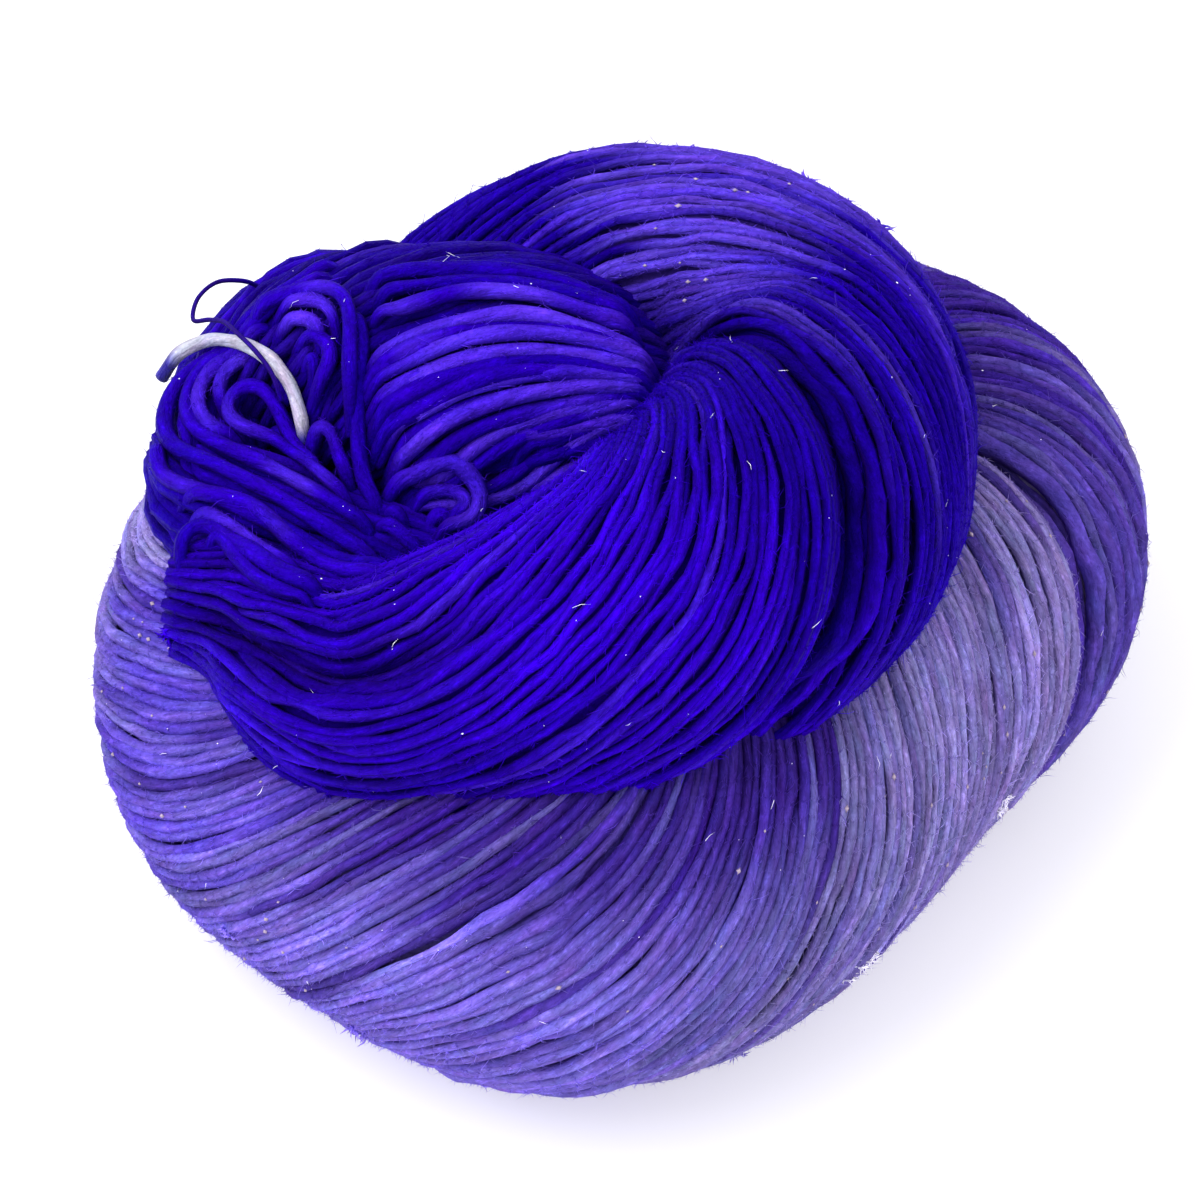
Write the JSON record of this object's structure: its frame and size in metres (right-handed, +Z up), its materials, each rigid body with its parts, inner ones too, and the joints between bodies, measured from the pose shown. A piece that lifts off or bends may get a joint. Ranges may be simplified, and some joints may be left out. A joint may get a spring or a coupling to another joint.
{
  "type": "skein of recycled silk yarn",
  "caption": "Hank of hand-dyed blue and lavender recycled silk yarn, twisted and coiled into a low turban-like mound, with its looped end on top and an undyed tie.",
  "frame": {"origin": "middle of the hank's bounding box, on the surface it rests on", "axes": "+Z up, +X along the hank's longest width from its looped end to the far side, +Y from its front to its back"},
  "size_m": [0.1375, 0.1269, 0.0827],
  "materials": {
    "silk_yarn": "hand-dyed recycled silk, one loosely spun ply with a soft sheen and fine fuzz; deep ultramarine at the looped end, grey lavender on the lower turn",
    "undyed_yarn": "undyed silk yarn, off-white with a faint violet bleed",
    "dark_thread": "thin dark violet-blue thread, matt"
  },
  "bodies": {
    "root": {"hank": "silk_yarn", "tie_yarn": "undyed_yarn", "tie_thread": "dark_thread"}
  },
  "joints": []
}
